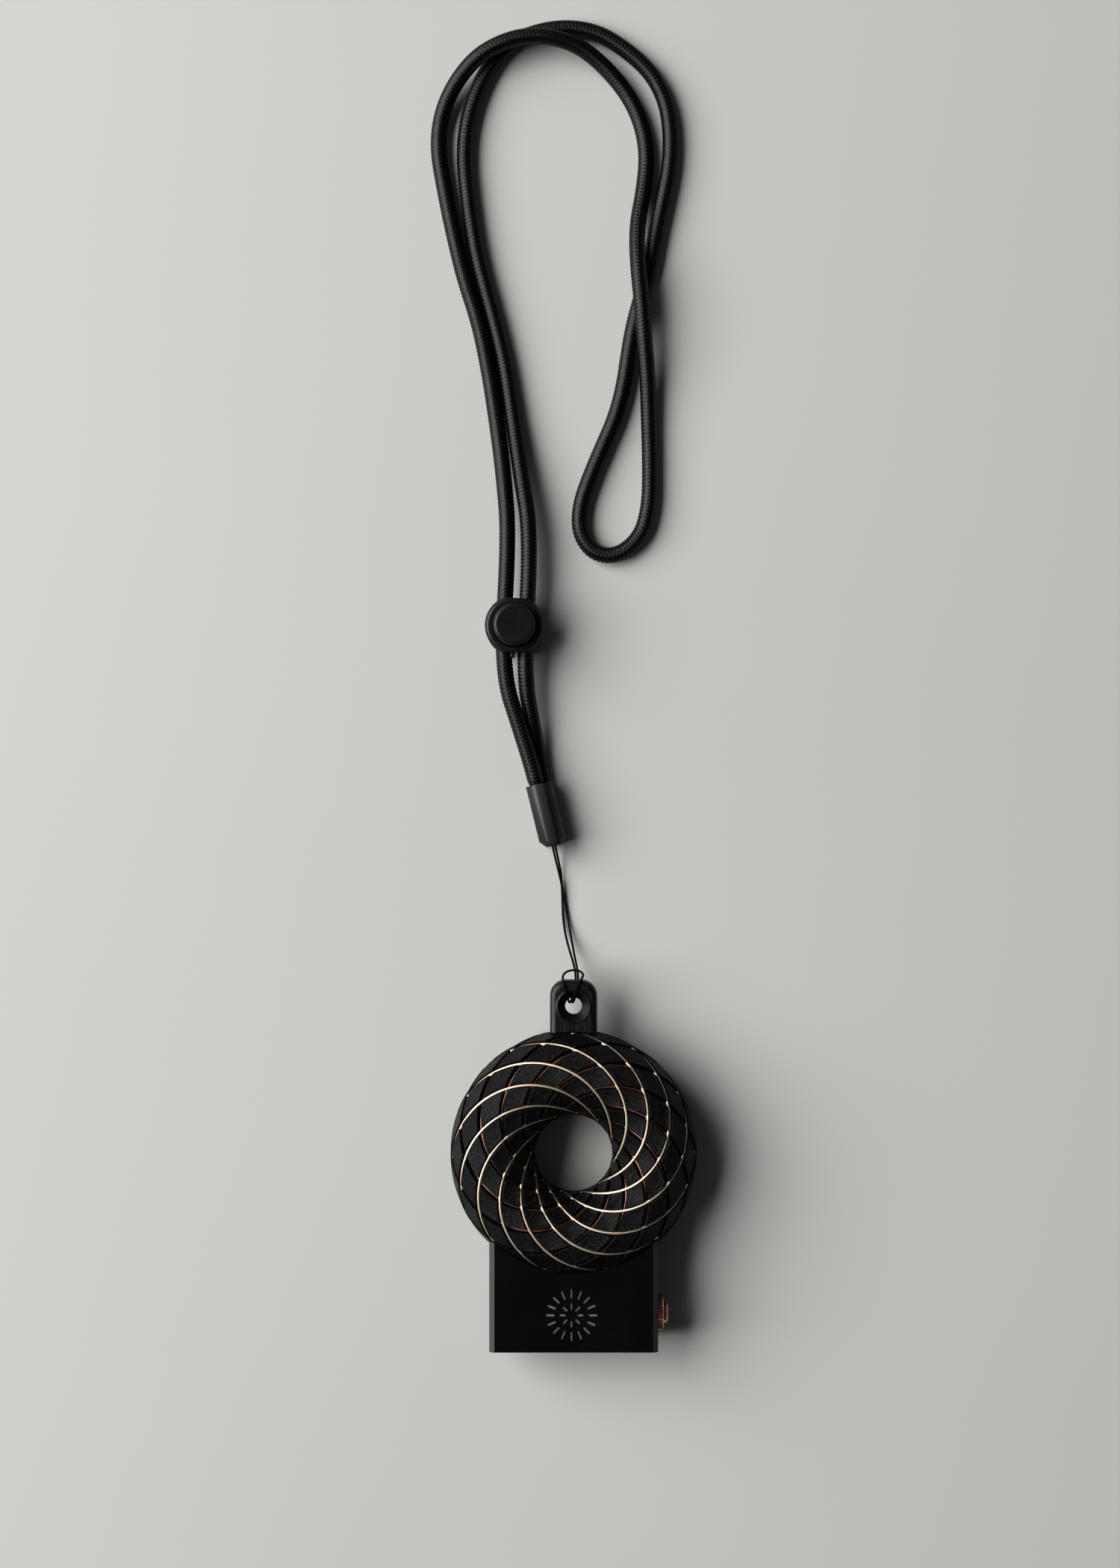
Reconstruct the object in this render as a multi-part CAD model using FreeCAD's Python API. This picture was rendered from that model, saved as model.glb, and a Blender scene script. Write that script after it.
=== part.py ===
import FreeCAD, Part
import math
import os

# Toroidal coil pendant on an adjustable neck lanyard, in millimetres.
# It lies on its back: +X to its right, +Y up towards the lanyard, +Z out of its front face.
# The origin is under the middle of the rigid pendant, on the surface it lies on.

os.makedirs("parts", exist_ok=True)
Vec = FreeCAD.Vector

# Ring
ring_radius = 26.2  # centre of the ring to the centre of its tube
tube_radius = 13.8  # skin of the tube
ring_wall = 3.0
pin_radius = 1.0
pin_length = 6.0
pin_circle = 34.4  # radius of the circle of locating pins
pin_boss_radius = 2.2

# Winding: crossings lie on rows round the tube, and each wire passes over or under at each one
wire_diameter = 0.95
over_radius = 13.3  # tube centre to the crossings of the front family
under_radius = 12.0  # tube centre to the crossings of the family beneath
row_step = 18.0  # degrees round the tube from one row of crossings to the next
ring_step = 15.0  # degrees round the ring between neighbouring crossings of one wire
row_start = -3.4  # degrees of the first row, from the outside of the ring towards its front
ring_start = 16.2  # degrees of the first crossing, clockwise seen from the front
crossings_per_wire = 120
lead_radius = 17.6  # tube centre to the end of a lead inside the box
lead_rise = 2.2  # height of a lead's bend over its wire
lead_gap = 0.45  # crossings between the two ends of a wire
lead_turn = 0.12  # crossings from an end to its first bend

# Switch box
box_half_width = 27.2
box_bottom = 63.2  # ring centre to the bottom end of the box
box_reach = 22.0  # ring centre to the level that the box block is cut from
box_depth = 15.0
box_wall = 2.0
box_bevel = 1.7
corner_round = 0.6
screw_x = 22.4
screw_rows = (-57.0, -35.6)
boss_radius = 2.6
cover_screw_radius = 1.0
cover_head_radius = 1.9
cover_screw_length = 6.0

# Engraved rosette on the front of the box
rosette_below_ring = 51.1
rosette_x = -0.9
stroke_width = 0.8
stroke_depth = 0.5
inner_strokes = 8
outer_strokes = 16

# Hang tab
tab_width = 15.3
tab_top = 56.2  # ring centre to the top of the tab
tab_foot = 36.0
tab_depth = 7.0
tab_corner = 5.2
tab_hole_radius = 2.75
tab_hole_up = 47.8  # ring centre to the centre of the hole
tab_sink_radius = 5.0
tab_round = 1.9  # rounding of the rims
tab_lip_circle = 5.25  # raised lip round the front countersink
tab_lip_radius = 0.35

# Push button on the right side of the box
button_below_ring = 51.65
flange_radius = 5.7
flange_thickness = 1.9
flange_ribs = 30
rib_depth = 0.3
barrel_radius = 4.5
barrel_length = 10.2
button_bore = 3.5
cap_radius = 3.4
cap_proud = 1.4
cap_length = 6.8
button_travel = 1.0
nut_across_flats = 10.6
nut_thickness = 2.0

# Electronics inside the box
board_low = (-19.3, -57.4)
board_high = (9.4, -39.7)
board_back = 10.0  # height of the board's back face
board_thickness = 1.0
board_screw_places = ((-17.4, -41.9), (7.6, -56.3), (7.4, -41.9))
cell_place = (-9.3, -48.6)
cell_radius = 8.0
cell_thickness = 3.2

# Cord lock
lock_place = (-19.25, 174.8)
cord_heading = (2.7, 43.2)  # direction of the two strands through the lock
strand_spacing = 7.3
lock_radius = 9.6
lock_height = 13.8
lock_bore = 7.1
lock_flat = 8.8  # centre to the flat ends that the strands leave by
# nub between the strands: half width, reach, lowest and highest point
lock_nub = (0.65, 10.4, 5.0, 11.5)
plunger_radius = 6.8
lock_floor = 1.0
plunger_bottom = 4.6
lock_top = 18.6
lock_travel = 2.0
strand_height = 8.2
strand_hole_radius = 2.95

# Cords
neck_cord_diameter = 5.2
string_diameter = 0.8
lead_wire_diameter = 1.1

# Moulded sleeve over the ends of both cords
sleeve_start = (-11.3, 123.2)
sleeve_end = (-6.4, 103.0)
sleeve_width = 8.8
sleeve_height = 10.2
sleeve_chamfer = 2.0
sleeve_cut_top = 2.4
sleeve_cut_bottom = 1.6

# Where the pieces lie
ring_y = (box_bottom - tab_top) / 2
ring_z = tube_radius
ring_centre = Vec(0, ring_y, ring_z)
box_back = ring_z - box_depth / 2
box_front = ring_z + box_depth / 2
cover_front = box_back + box_wall
box_end = ring_y - box_bottom
button_y = ring_y - button_below_ring
saddle_radius = tube_radius + box_wall

# Route of the neck cord, from the sleeve through the lock, round the loop and back
neck_route = [
    (-10.2, 115.3, 7.2), (-12.5, 125.2, 7.3), (-16.8, 139.2, 7.5), (-23.8, 160.7, 8.2),
    (-21.1, 203.9, 8.2), (-22.9, 225.0, 5.6), (-25.5, 244.7, 3.2), (-28.1, 261.0, 2.65),
    (-31.2, 275.7, 2.65), (-36.0, 290.0, 2.65), (-39.7, 305.7, 2.65), (-42.5, 319.5, 2.65),
    (-44.7, 332.3, 2.65), (-43.7, 343.1, 2.65), (-39.5, 352.7, 4.4), (-32.4, 360.8, 7.4),
    (-24.5, 365.4, 8.3), (-15.7, 368.0, 8.3), (-6.8, 367.8, 7.9), (2.5, 365.0, 6.0),
    (10.9, 358.6, 3.9), (18.0, 350.3, 2.75), (22.5, 340.9, 2.65), (24.4, 330.3, 2.65),
    (23.2, 318.5, 2.9), (20.9, 306.5, 5.0), (21.0, 294.2, 7.8), (22.2, 281.9, 8.4),
    (23.2, 269.6, 7.6), (24.4, 256.5, 4.8), (24.9, 242.5, 3.0), (25.3, 227.8, 2.65),
    (25.1, 215.4, 2.65), (22.5, 204.9, 2.65), (14.8, 198.2, 2.65), (6.7, 199.0, 2.65),
    (1.9, 205.9, 2.65), (2.2, 215.2, 2.65), (5.7, 225.0, 2.65), (9.7, 234.4, 2.65),
    (13.8, 243.7, 2.65), (16.6, 254.1, 2.65), (18.1, 264.4, 2.65), (19.7, 273.8, 2.65),
    (22.2, 283.1, 2.65), (25.0, 292.4, 2.65), (26.9, 303.8, 2.65), (29.3, 314.6, 2.65),
    (31.6, 325.4, 2.65), (32.3, 336.2, 2.65), (30.8, 347.6, 2.65), (25.9, 357.4, 2.65),
    (17.8, 364.8, 2.65), (8.4, 370.7, 2.65), (-1.9, 372.5, 2.65), (-12.2, 371.0, 2.65),
    (-20.6, 367.2, 2.65), (-27.2, 360.6, 2.65), (-31.9, 351.5, 2.65), (-35.1, 340.7, 2.65),
    (-36.0, 329.3, 2.65), (-34.9, 318.0, 2.65), (-33.4, 306.7, 2.65), (-31.3, 295.4, 2.65),
    (-28.1, 283.6, 2.65), (-25.0, 272.3, 2.65), (-22.2, 260.0, 2.65), (-20.0, 244.7, 3.2),
    (-17.2, 225.0, 5.6), (-13.8, 203.4, 8.2), (-16.5, 160.2, 8.2), (-12.8, 139.2, 3.7),
    (-10.6, 126.6, 2.65), (-8.1, 116.1, 2.65),
]

# Route of the string: down from the sleeve, a lark's head through the tab's hole, and back
string_route = [
    (-7.0, 107.2, 5.0), (-5.85, 102.4, 4.7), (-4.95, 98.1, 2.9), (-4.1, 94.2, 1.2),
    (-3.85, 90.4, 0.5), (-3.65, 86.6, 0.45), (-3.55, 82.8, 0.45), (-3.4, 79.0, 0.5),
    (-2.95, 75.4, 0.8), (-2.2, 71.8, 1.8), (-1.25, 68.4, 3.3), (-0.2, 65.2, 5.4),
    (0.55, 62.3, 7.6), (0.8, 59.4, 9.1), (0.5, 56.4, 9.6), (-0.3, 53.6, 10.1),
    (-1.0, 52.1, 12.0), (-1.5, 52.5, 15.2), (-2.2, 54.5, 17.45), (-2.8, 56.8, 17.9),
    (-3.2, 59.0, 17.65), (-3.5, 60.3, 16.2), (-3.5, 60.7, 13.2), (-3.2, 61.1, 9.8),
    (-2.3, 61.7, 7.2), (-0.8, 62.15, 6.2), (1.1, 62.15, 6.2), (2.6, 61.7, 7.2),
    (3.2, 61.1, 9.8), (3.0, 60.6, 13.2), (2.6, 60.2, 16.2), (1.9, 58.9, 17.65),
    (0.9, 56.8, 17.9), (-0.1, 54.5, 17.45), (-0.6, 52.5, 15.2), (-0.1, 52.1, 12.0),
    (0.6, 53.7, 10.1), (1.3, 56.4, 9.6), (1.6, 59.4, 9.1), (1.35, 62.3, 7.6),
    (0.7, 65.2, 5.4), (0.05, 68.4, 3.3), (-0.6, 71.9, 1.8), (-1.25, 75.5, 0.8),
    (-1.9, 79.2, 0.5), (-2.55, 82.9, 0.5), (-3.2, 86.6, 0.9), (-3.95, 90.4, 1.35),
    (-4.8, 94.2, 1.6), (-5.8, 98.1, 2.9), (-6.7, 102.2, 4.7), (-7.85, 107.0, 5.0),
]


def save(shape, name):
    """Write one named piece and report a solid that isn't sound."""
    if not shape.isValid() or not shape.Solids:
        print("NOT SOUND:", name)
    shape.exportStep("parts/" + name + ".step")


def block(low, high):
    size = [high[i] - low[i] for i in range(3)]
    return Part.makeBox(size[0], size[1], size[2], Vec(*low))


def rod(radius, length, start, heading):
    return Part.makeCylinder(radius, length, Vec(*start), Vec(*heading))


def cone(radius_a, radius_b, length, start, heading):
    return Part.makeCone(radius_a, radius_b, length, Vec(*start), Vec(*heading))


def joined(solids):
    whole = solids[0].multiFuse(solids[1:]) if len(solids) > 1 else solids[0]
    return whole.removeSplitter()


def ring_tube(radius):
    return Part.makeTorus(ring_radius, radius, ring_centre, Vec(0, 0, 1))


def turned(profile):
    """Solid of revolution about Z from (radius, height) corners."""
    corners = [Vec(r, 0, h) for r, h in profile]
    face = Part.Face(Part.makePolygon(corners + corners[:1]))
    return face.revolve(Vec(0, 0, 0), Vec(0, 0, 1), 360)


def rounded_path(route, reach=0.45):
    """Straight runs joined by tangent arcs that are as large as the runs allow."""
    points = [Vec(*p) for p in route]
    runs = [points[i + 1] - points[i] for i in range(len(points) - 1)]
    edges = []
    radii = []
    here = points[0]
    for i in range(1, len(points) - 1):
        corner = points[i]
        back = (runs[i - 1] * -1).normalize()
        ahead = Vec(runs[i]).normalize()
        half_turn = (math.pi - back.getAngle(ahead)) / 2
        tangent = reach * min(runs[i - 1].Length, runs[i].Length)
        radius = tangent / math.tan(half_turn)
        middle_way = (back + ahead).normalize()
        sag = math.hypot(tangent, radius) - radius
        arc_start = corner + back * tangent
        arc_end = corner + ahead * tangent
        edges.append(Part.LineSegment(here, arc_start).toShape())
        edges.append(Part.Arc(arc_start, corner + middle_way * sag, arc_end).toShape())
        radii.append(radius)
        here = arc_end
    edges.append(Part.LineSegment(here, points[-1]).toShape())
    return Part.Wire(edges), radii


def cord_tube(route, diameter, name):
    """Round tube along a route, with its bend radii and volume reported."""
    path, radii = rounded_path(route)
    start = Vec(*route[0])
    heading = Vec(*route[1]) - start
    section = Part.Wire(Part.makeCircle(diameter / 2, start, heading))
    tube = path.makePipeShell([section], True, False)
    expected = math.pi * diameter ** 2 / 4 * path.Length
    print(name, "length %.1f volume ratio %.4f least radius %.1f"
          % (path.Length, tube.Volume / expected, min(radii)))
    print("  radii", " ".join("%.0f" % r for r in radii[:80]))
    return tube


def coil_spring(radius, wire, height, turns):
    """Open compression spring standing on the origin along +Z."""
    helix = Part.makeHelix((height - wire) / turns, height - wire, radius)
    section = Part.Wire(Part.makeCircle(wire / 2, Vec(radius, 0, 0), Vec(0, 1, 0)))
    spring = helix.makePipeShell([section], True, True)
    spring.translate(Vec(0, 0, wire / 2))
    return spring


def on_ring(radius, around_ring, around_tube):
    """Point at a distance from the tube's centre, by its two angles in degrees."""
    theta = -math.radians(around_ring)
    phi = math.radians(around_tube)
    reach = ring_radius + radius * math.cos(phi)
    return ring_centre + Vec(reach * math.cos(theta), reach * math.sin(theta), radius * math.sin(phi))


def crossing(radius, along, across):
    """Crossing of the two families: 'along' counts one way round the tube and 'across' the other."""
    return on_ring(radius, ring_start + ring_step * (along + across),
                   row_start + row_step * (along - across))


def winding(name, radius, first, way):
    """One wire of a family, wound for the whole coil, with both ends led out into the box."""
    def place(step, r):
        if way > 0:
            return crossing(r, first[0] + step, first[1])
        return crossing(r, first[0], first[1] - step)
    to_crossing = (-first[0] if way > 0 else first[1]) % 1
    last = crossings_per_wire - lead_gap
    steps = [to_crossing + k for k in range(crossings_per_wire) if to_crossing + k < last - lead_turn]
    steps = [lead_turn] + steps + [last - lead_turn]
    route = [place(0, lead_radius), place(0, radius + lead_rise)]
    route += [place(step, radius) for step in steps]
    route += [place(last, radius + lead_rise), place(last, lead_radius)]
    save(cord_tube([tuple(p) for p in route], wire_diameter, name), name)


# Ring in two shells, with pins across the joint
def make_ring():
    wall = ring_tube(tube_radius).cut(ring_tube(tube_radius - ring_wall))
    span = ring_radius + tube_radius + 1
    inner = ring_tube(tube_radius - ring_wall / 2)
    pins = []
    for side, name in ((1, "ring_front_half"), (-1, "ring_back_half")):
        base = ring_z if side > 0 else ring_z - tube_radius - 1
        slab = block((-span, ring_y - span, base), (span, ring_y + span, base + tube_radius + 1))
        half = wall.common(slab)
        for k in range(4):
            angle = math.radians(45 + 90 * k)
            x = pin_circle * math.cos(angle)
            y = ring_y + pin_circle * math.sin(angle)
            boss = rod(pin_boss_radius, pin_length / 2 + 1, (x, y, ring_z), (0, 0, side)).common(inner)
            half = half.fuse(boss)
            half = half.cut(rod(pin_radius, pin_length / 2, (x, y, ring_z), (0, 0, side)))
            if side > 0:
                pins.append(rod(pin_radius, pin_length, (x, y, ring_z - pin_length / 2), (0, 0, 1)))
        save(half.removeSplitter(), name)
    save(Part.makeCompound(pins), "locating_pins")


# Four wires: two in each direction round the tube
def make_windings():
    winding("winding_over_first", over_radius, (100.5, 0), 1)
    winding("winding_over_second", over_radius, (101.5, 1), 1)
    winding("winding_under_first", under_radius, (0, -20.65), -1)
    winding("winding_under_second", under_radius, (1, -19.65), -1)


def box_outline(back, front):
    """Block of the box between two heights, cut to sit on the ring."""
    low = (-box_half_width, box_end, back)
    high = (box_half_width, ring_y - box_reach, front)
    return block(low, high)


def long_edges(shape, height):
    """Edges along Y on the two sides at one height."""
    found = []
    for edge in shape.Edges:
        box = edge.BoundBox
        on_side = abs(abs(box.Center.x) - box_half_width) < 0.01
        if on_side and box.YLength > 5 and box.ZLength < 0.01 and abs(box.Center.z - height) < 0.01:
            found.append(edge)
    return found


def end_edges(shape, height):
    """Edges along X on the bottom end at one height."""
    found = []
    for edge in shape.Edges:
        box = edge.BoundBox
        if box.XLength > 40 and abs(box.Center.y - box_end) < 0.01 and abs(box.Center.z - height) < 0.01:
            found.append(edge)
    return found


def strokes():
    """Rosette of short radial strokes, in two rings."""
    centre = (rosette_x, ring_y - rosette_below_ring)
    cutters = []
    for count, inner, outer in ((inner_strokes, 1.8, 3.9), (outer_strokes, 5.4, 8.4)):
        for k in range(count):
            stroke = block((inner, -stroke_width / 2, box_front - stroke_depth),
                           (outer, stroke_width / 2, box_front + 1))
            stroke.rotate(Vec(0, 0, 0), Vec(0, 0, 1), 360 * k / count)
            stroke.translate(Vec(centre[0], centre[1], 0))
            cutters.append(stroke)
    return cutters


def screw_places():
    return [(x, y) for x in (-screw_x, screw_x) for y in screw_rows]


def make_box():
    ring_space = ring_tube(tube_radius)
    outside = box_outline(cover_front, box_front)
    outside = outside.makeChamfer(box_bevel, long_edges(outside, box_front))
    outside = outside.makeFillet(corner_round, end_edges(outside, box_front))
    inside = block((-box_half_width + box_wall, box_end + box_wall, cover_front - 1),
                   (box_half_width - box_wall, ring_y - box_reach + 1, box_front - box_wall))
    shell = outside.cut(inside.cut(ring_tube(saddle_radius)))
    bosses = [rod(boss_radius, box_front - box_wall / 2 - cover_front, (x, y, cover_front), (0, 0, 1))
              for x, y in screw_places()]
    posts = [rod(1.6, box_front - box_wall / 2 - board_back - board_thickness,
                 (x, y, board_back + board_thickness), (0, 0, 1)) for x, y in board_screw_places]
    shell = joined([shell] + bosses + posts).cut(ring_space)
    holes = [rod(cover_screw_radius, cover_screw_length, (x, y, cover_front), (0, 0, 1))
             for x, y in screw_places()]
    holes += [rod(0.7, 4.2, (x, y, board_back + board_thickness), (0, 0, 1)) for x, y in board_screw_places]
    side_hole = (box_half_width - 2 * box_wall, button_y, ring_z)
    holes.append(rod(barrel_radius, 2 * box_wall + 1, side_hole, (1, 0, 0)))
    shell = shell.cut(Part.makeCompound(holes + strokes()))
    save(max(shell.Solids, key=lambda s: s.Volume), "box_shell")

    cover = box_outline(box_back, cover_front)
    cover = cover.makeChamfer(box_bevel, long_edges(cover, box_back))
    cover = cover.makeFillet(corner_round, end_edges(cover, box_back))
    cover = cover.cut(ring_space)
    head_depth = cover_head_radius - cover_screw_radius
    screws = []
    for x, y in screw_places():
        cover = cover.cut(rod(cover_screw_radius, box_wall, (x, y, box_back), (0, 0, 1)))
        head = cone(cover_head_radius, cover_screw_radius, head_depth, (x, y, box_back), (0, 0, 1))
        cover = cover.cut(head)
        shank = rod(cover_screw_radius, cover_screw_length, (x, y, box_back + head_depth), (0, 0, 1))
        screw = head.fuse(shank).removeSplitter()
        for turn in (0, 90):
            slot = block((-1.1, -0.18, box_back - 1), (1.1, 0.18, box_back + 0.6))
            slot.rotate(Vec(0, 0, 0), Vec(0, 0, 1), turn)
            slot.translate(Vec(x, y, 0))
            screw = screw.cut(slot)
        screws.append(screw)
    save(max(cover.Solids, key=lambda s: s.Volume), "back_cover")
    save(Part.makeCompound(screws), "cover_screws")


def make_tab():
    low = (-tab_width / 2, ring_y + tab_foot, ring_z - tab_depth / 2)
    high = (tab_width / 2, ring_y + tab_top, ring_z + tab_depth / 2)
    tab = block(low, high)
    upper = ring_y + tab_top - 1
    shoulders = [e for e in tab.Edges if e.BoundBox.ZLength > 1 and e.BoundBox.Center.y > upper]
    tab = tab.makeFillet(tab_corner, shoulders)
    rims = [e for e in tab.Edges if e.BoundBox.ZLength < 0.01 and e.BoundBox.YMax > ring_y + tab_foot + 1]
    tab = tab.makeFillet(tab_round, rims)
    hole_y = ring_y + tab_hole_up
    sink = tab_sink_radius - tab_hole_radius
    tab = tab.cut(rod(tab_hole_radius, tab_depth + 2, (0, hole_y, low[2] - 1), (0, 0, 1)))
    tab = tab.cut(cone(tab_sink_radius, tab_hole_radius, sink, (0, hole_y, low[2]), (0, 0, 1)))
    tab = tab.cut(cone(tab_hole_radius, tab_sink_radius, sink, (0, hole_y, high[2] - sink), (0, 0, 1)))
    lip = Part.makeTorus(tab_lip_circle, tab_lip_radius, Vec(0, hole_y, high[2]), Vec(0, 0, 1))
    tab = tab.fuse(lip).cut(ring_tube(tube_radius))
    save(max(tab.Solids, key=lambda s: s.Volume), "hang_tab")


def along_x(shape, x):
    """Stand a piece made along +Z on the button's axis, pointing along +X from x."""
    shape.rotate(Vec(0, 0, 0), Vec(0, 1, 0), 90)
    shape.translate(Vec(x, button_y, ring_z))
    return shape


def make_button():
    face = box_half_width + flange_thickness
    rim = []
    for k in range(2 * flange_ribs):
        radius = flange_radius - (k % 2) * rib_depth
        angle = math.pi * k / flange_ribs
        rim.append(Vec(radius * math.cos(angle), radius * math.sin(angle), 0))
    flange = Part.Face(Part.makePolygon(rim + rim[:1])).extrude(Vec(0, 0, flange_thickness))
    lip = turned([(0, 0), (flange_radius, 0), (flange_radius, flange_thickness - 0.5),
                  (flange_radius - 0.5, flange_thickness), (0, flange_thickness)])
    barrel = rod(barrel_radius, barrel_length, (0, 0, -barrel_length), (0, 0, 1))
    bezel = flange.common(lip).fuse(barrel)
    bore_length = barrel_length + flange_thickness + 2
    bezel = bezel.cut(rod(button_bore, bore_length, (0, 0, -barrel_length - 1), (0, 0, 1)))
    save(along_x(bezel.removeSplitter(), box_half_width), "button_bezel")

    dome = 0.45
    cap = turned([(0, 0), (cap_radius, 0), (cap_radius, cap_length - dome),
                  (cap_radius - dome, cap_length), (0, cap_length)])
    cap_back = face + cap_proud - cap_length
    save(along_x(cap, cap_back), "button_cap")

    insert_front = box_half_width - barrel_length + 2.5
    insert = turned([(0, 0), (barrel_radius, 0), (barrel_radius, 4), (button_bore, 4),
                     (button_bore, 6.5), (0, 6.5)])
    save(along_x(insert, insert_front - 6.5), "switch_insert")
    spring = coil_spring(2.4, 0.45, cap_back - insert_front - 0.1, 3.5)
    save(along_x(spring, insert_front + 0.05), "button_spring")

    point = nut_across_flats / math.sqrt(3)
    turns = [math.radians(60 * k + 30) for k in range(7)]
    hexagon = [Vec(point * math.cos(turn), point * math.sin(turn), 0) for turn in turns]
    nut = Part.Face(Part.makePolygon(hexagon)).extrude(Vec(0, 0, nut_thickness))
    nut = nut.cut(rod(barrel_radius, nut_thickness + 2, (0, 0, -1), (0, 0, 1)))
    nut = nut.common(block((-box_depth / 2 + box_wall, -20, -1), (box_depth / 2 - box_wall, 20, 5)))
    save(along_x(nut, box_half_width - box_wall - nut_thickness), "button_nut")

    terminal_x = insert_front - 6.5
    pins = [block((terminal_x - 2.6, button_y + side * 1.8 - 0.8, ring_z - 0.25),
                  (terminal_x, button_y + side * 1.8 + 0.8, ring_z + 0.25)) for side in (-1, 1)]
    save(Part.makeCompound(pins), "switch_terminals")

    board_front = board_back + board_thickness
    leads = []
    for side in (-1, 1):
        y = button_y + side * 1.8
        base = ring_z + 0.25 + lead_wire_diameter / 2 + 0.02
        route = [(terminal_x - 0.4, y, base), (terminal_x - 3.6, y + side * 0.05, base + 0.1),
                 (terminal_x - 5.6, y, base - 0.9), (terminal_x - 6.2, y - side * 0.05, base - 2.2),
                 (terminal_x - 6.3, y, board_front + 0.05)]
        leads.append(cord_tube(route, lead_wire_diameter, "switch lead"))
    save(Part.makeCompound(leads), "switch_leads")


def make_electronics():
    front = board_back + board_thickness
    board = block(board_low + (board_back,), board_high + (front,))
    screws = []
    for x, y in board_screw_places:
        board = board.cut(rod(0.75, 3, (x, y, board_back - 1), (0, 0, 1)))
        head = rod(1.3, 0.9, (x, y, board_back - 0.9), (0, 0, 1))
        screws.append(head.fuse(rod(0.7, 4.0, (x, y, board_back), (0, 0, 1))).removeSplitter())
    save(board, "circuit_board")
    save(Part.makeCompound(screws), "board_screws")

    x, y = cell_place
    wall = 0.7
    cup = rod(cell_radius + 0.1 + wall, 3.0, (x, y, front), (0, 0, 1))
    cup = cup.cut(rod(cell_radius + 0.1, 3.0, (x, y, front + 0.6), (0, 0, 1)))
    cup = cup.cut(block((x - 4, y + 4, front + 0.6), (x + 4, y + 12, front + 4)))
    save(cup, "cell_holder")
    save(rod(cell_radius, cell_thickness, (x, y, front + 0.65), (0, 0, 1)), "coin_cell")
    strap_z = front + 0.65 + cell_thickness + 0.05
    strap = block((x + 2.0, y - 2.2, strap_z), (x + 10.6, y + 2.2, strap_z + 0.3))
    foot = block((x + 10.3, y - 2.2, front), (x + 10.6, y + 2.2, strap_z + 0.3))
    save(strap.fuse(foot).removeSplitter(), "cell_contact")

    chip_low = (2.6, -54.6)
    chip_high = (6.5, -51.4)
    chip = block(chip_low + (front + 0.15,), chip_high + (front + 1.5,))
    legs = []
    for i in range(4):
        x = chip_low[0] + 0.1 + 1.15 * i
        legs.append(block((x, chip_low[1] - 0.4, front), (x + 0.4, chip_high[1] + 0.4, front + 0.3)))
    chip = chip.fuse(legs).removeSplitter()
    save(chip, "driver_chip")
    crystal = rod(1.2, 4.6, (1.2, -52.7, front + 1.2), (0, -1, 0))
    capacitors = [rod(1.5, 4.2, (3.0, y, front), (0, 0, 1)) for y in (-46.2, -42.2)]
    resistors = [block((7.6, y, front), (9.2, y + 0.8, front + 0.5)) for y in (-47.2, -45.4)]
    save(Part.makeCompound([crystal] + capacitors + resistors), "board_components")


def lock_frame(shape):
    """Turn a piece made about Z, with its strands along Y, to the strands and move it to the lock."""
    shape.rotate(Vec(0, 0, 0), Vec(0, 0, 1), -math.degrees(math.atan2(cord_heading[0], cord_heading[1])))
    shape.translate(Vec(lock_place[0], lock_place[1], 0))
    return shape


def strand_hole(side, rise):
    """Hole for one strand along Y, stretched upwards by a rise."""
    x = side * strand_spacing / 2
    length = 2 * lock_radius + 2
    low = rod(strand_hole_radius, length, (x, -length / 2, strand_height), (0, 1, 0))
    if rise == 0:
        return low
    high = rod(strand_hole_radius, length, (x, -length / 2, strand_height + rise), (0, 1, 0))
    slab = block((x - strand_hole_radius, -length / 2, strand_height),
                 (x + strand_hole_radius, length / 2, strand_height + rise))
    return joined([low, high, slab])


def make_lock():
    body = turned([(0, 0), (lock_radius - 0.5, 0), (lock_radius, 0.5), (lock_radius, 2.6),
                   (lock_radius - 0.6, 3.4), (lock_radius - 0.6, lock_height - 3.0),
                   (lock_radius, lock_height - 2.2), (lock_radius, lock_height - 0.9),
                   (lock_radius - 0.9, lock_height), (lock_bore, lock_height), (lock_bore, lock_floor),
                   (0, lock_floor)])
    body = body.common(block((-lock_radius, -lock_flat, 0), (lock_radius, lock_flat, lock_height)))
    half, reach, low, high = lock_nub
    body = body.fuse(block((-half, -reach, low), (half, -lock_flat + 0.8, high)))
    plunger = turned([(0, plunger_bottom), (plunger_radius, plunger_bottom), (plunger_radius, lock_top - 0.8),
                      (plunger_radius - 0.8, lock_top), (0, lock_top)])
    for side in (-1, 1):
        body = body.cut(strand_hole(side, 0))
        plunger = plunger.cut(strand_hole(side, lock_travel))
    save(lock_frame(body), "lock_body")
    save(lock_frame(plunger), "lock_button")
    spring = coil_spring(4.6, 0.5, plunger_bottom - lock_floor - 0.1, 2.5)
    spring.translate(Vec(0, 0, lock_floor + 0.05))
    save(lock_frame(spring), "lock_spring")


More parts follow.
